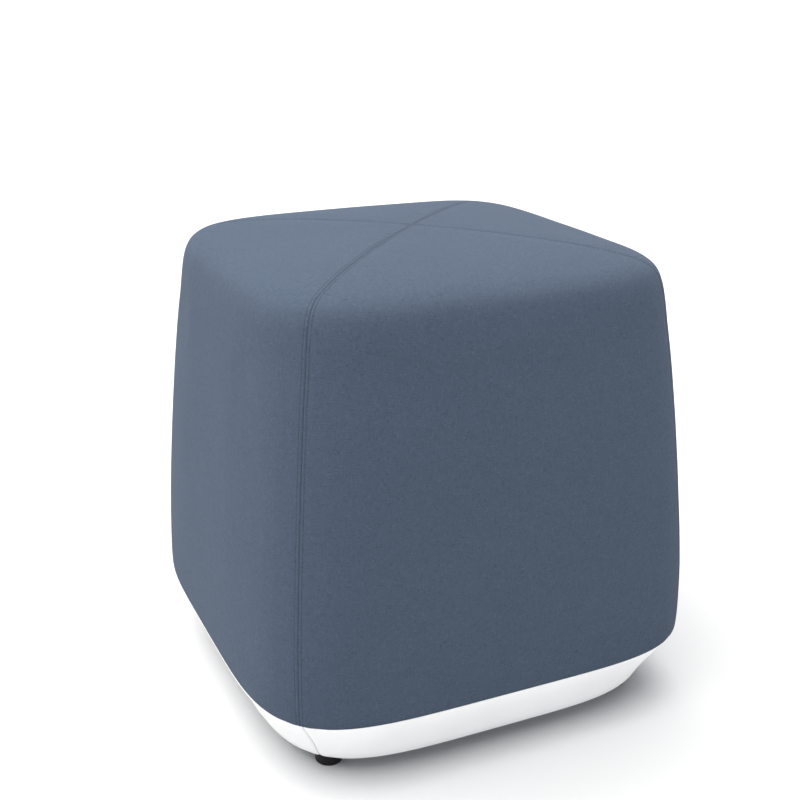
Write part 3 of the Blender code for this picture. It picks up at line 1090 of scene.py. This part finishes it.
GLIDE_CORNERS = (("front_left", -1, -1), ("front_right", 1, -1),
                 ("back_right", 1, 1), ("back_left", -1, 1))
for name, x, y in GLIDE_CORNERS:
    mesh = turned_mesh("glide_" + name, glide_profile(), (x * GLIDE_OUT, y * GLIDE_OUT))
    mesh.materials.append(GLIDE_PLASTIC)
    piece = bpy.data.objects.new("foot_" + name, mesh)
    scene.collection.objects.link(piece)
    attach(piece, "root")
    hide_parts("glide_" + name)
print("glides stand", GLIDE_OUT * 1000, "mm out along X and Y")

# %% [markdown]
# ## The studio
# A plain pale floor whose far rim slopes up like a photographer's sweep, so no horizon shows
# from any side, and soft light from above, from the left and from behind: the seat is lightest,
# the left panel a step darker, and the wide front panel darkest, lit mostly by what the floor
# throws back. A sun lamp with a very wide angle gives that with the same strength all over the
# floor, which a lamp close by would not. It is bright enough to bring the floor up to white.

# %% Floor
FLOOR_FLAT = 12.0
RIM_RADIUS = 12.0
RIM_SLOPE = math.radians(40)
RIM_RUN = 20.0
FLOOR_SIDES = 96
INNER_RINGS = np.array([1.0, 3.0])
RIM_STEPS = 16
FLOOR_PALE = (0.53, 0.54, 0.555, 1.0)
FLOOR_NOISE_SCALE = 6.0
FLOOR_ROUGHNESS = (0.3, 0.7, 0.85, 0.95)


def make_floor():
    """A level disc whose rim bends up along an arc and then runs straight on at its slope."""
    rise = np.linspace(0, RIM_SLOPE, RIM_STEPS)
    out = np.concatenate([INNER_RINGS, FLOOR_FLAT + RIM_RADIUS * np.sin(rise)])
    up = np.concatenate([0 * INNER_RINGS, RIM_RADIUS * (1 - np.cos(rise))])
    out = np.append(out, out[-1] + RIM_RUN * math.cos(RIM_SLOPE))[:, None]
    up = np.append(up, up[-1] + RIM_RUN * math.sin(RIM_SLOPE))[:, None]
    turn = np.linspace(0, 2 * math.pi, FLOOR_SIDES, endpoint=False)
    rings = np.stack([out * np.cos(turn), out * np.sin(turn), up + 0 * turn], axis=-1)
    at = np.arange(rings.shape[0] * len(turn)).reshape(rings.shape[:2])
    right = np.roll(at, -1, axis=1)
    quads = np.stack([at[:-1], at[1:], right[1:], right[:-1]], axis=-1).reshape(-1, 4)
    mesh = bpy.data.meshes.new("floor")
    mesh.from_pydata(rings.reshape(-1, 3).tolist(), [], quads.tolist() + [at[0].tolist()])
    mesh.shade_smooth()
    nodes = Nodes("floor")
    place = nodes.add("ShaderNodeTexCoord", output=3)
    rough = nodes.spread(nodes.noise(place, FLOOR_NOISE_SCALE, detail=3.0), *FLOOR_ROUGHNESS)
    mesh.materials.append(nodes.finish(FLOOR_PALE, rough, gloss=0.0))
    floor = bpy.data.objects.new("floor", mesh)
    scene.collection.objects.link(floor)


make_floor()
print("floor: level for", FLOOR_FLAT, "m round the pouf")

# %% Light
SUN_FROM = Vector((-0.24, 0.16, 0.955))
SUN_STRENGTH = 6.7
SUN_WARM = (1.0, 0.97, 0.925)
SUN_ANGLE = math.radians(80)
SKY_WHITE = (0.93, 0.95, 1.0, 1.0)
SKY_STRENGTH = 0.50

sun_data = bpy.data.lights.new("softbox", "SUN")
sun_data.energy = SUN_STRENGTH
sun_data.color = SUN_WARM
sun_data.angle = SUN_ANGLE
sun = bpy.data.objects.new("softbox", sun_data)
sun.rotation_mode = "QUATERNION"
sun.rotation_quaternion = SUN_FROM.to_track_quat("Z", "Y")
scene.collection.objects.link(sun)

world = bpy.data.worlds.new("studio")
world.use_nodes = True
background = world.node_tree.nodes["Background"]
background.inputs["Color"].default_value = SKY_WHITE
background.inputs["Strength"].default_value = SKY_STRENGTH
scene.world = world
scene.view_settings.view_transform = "Standard"
print("light from", tuple(round(v, 2) for v in SUN_FROM))
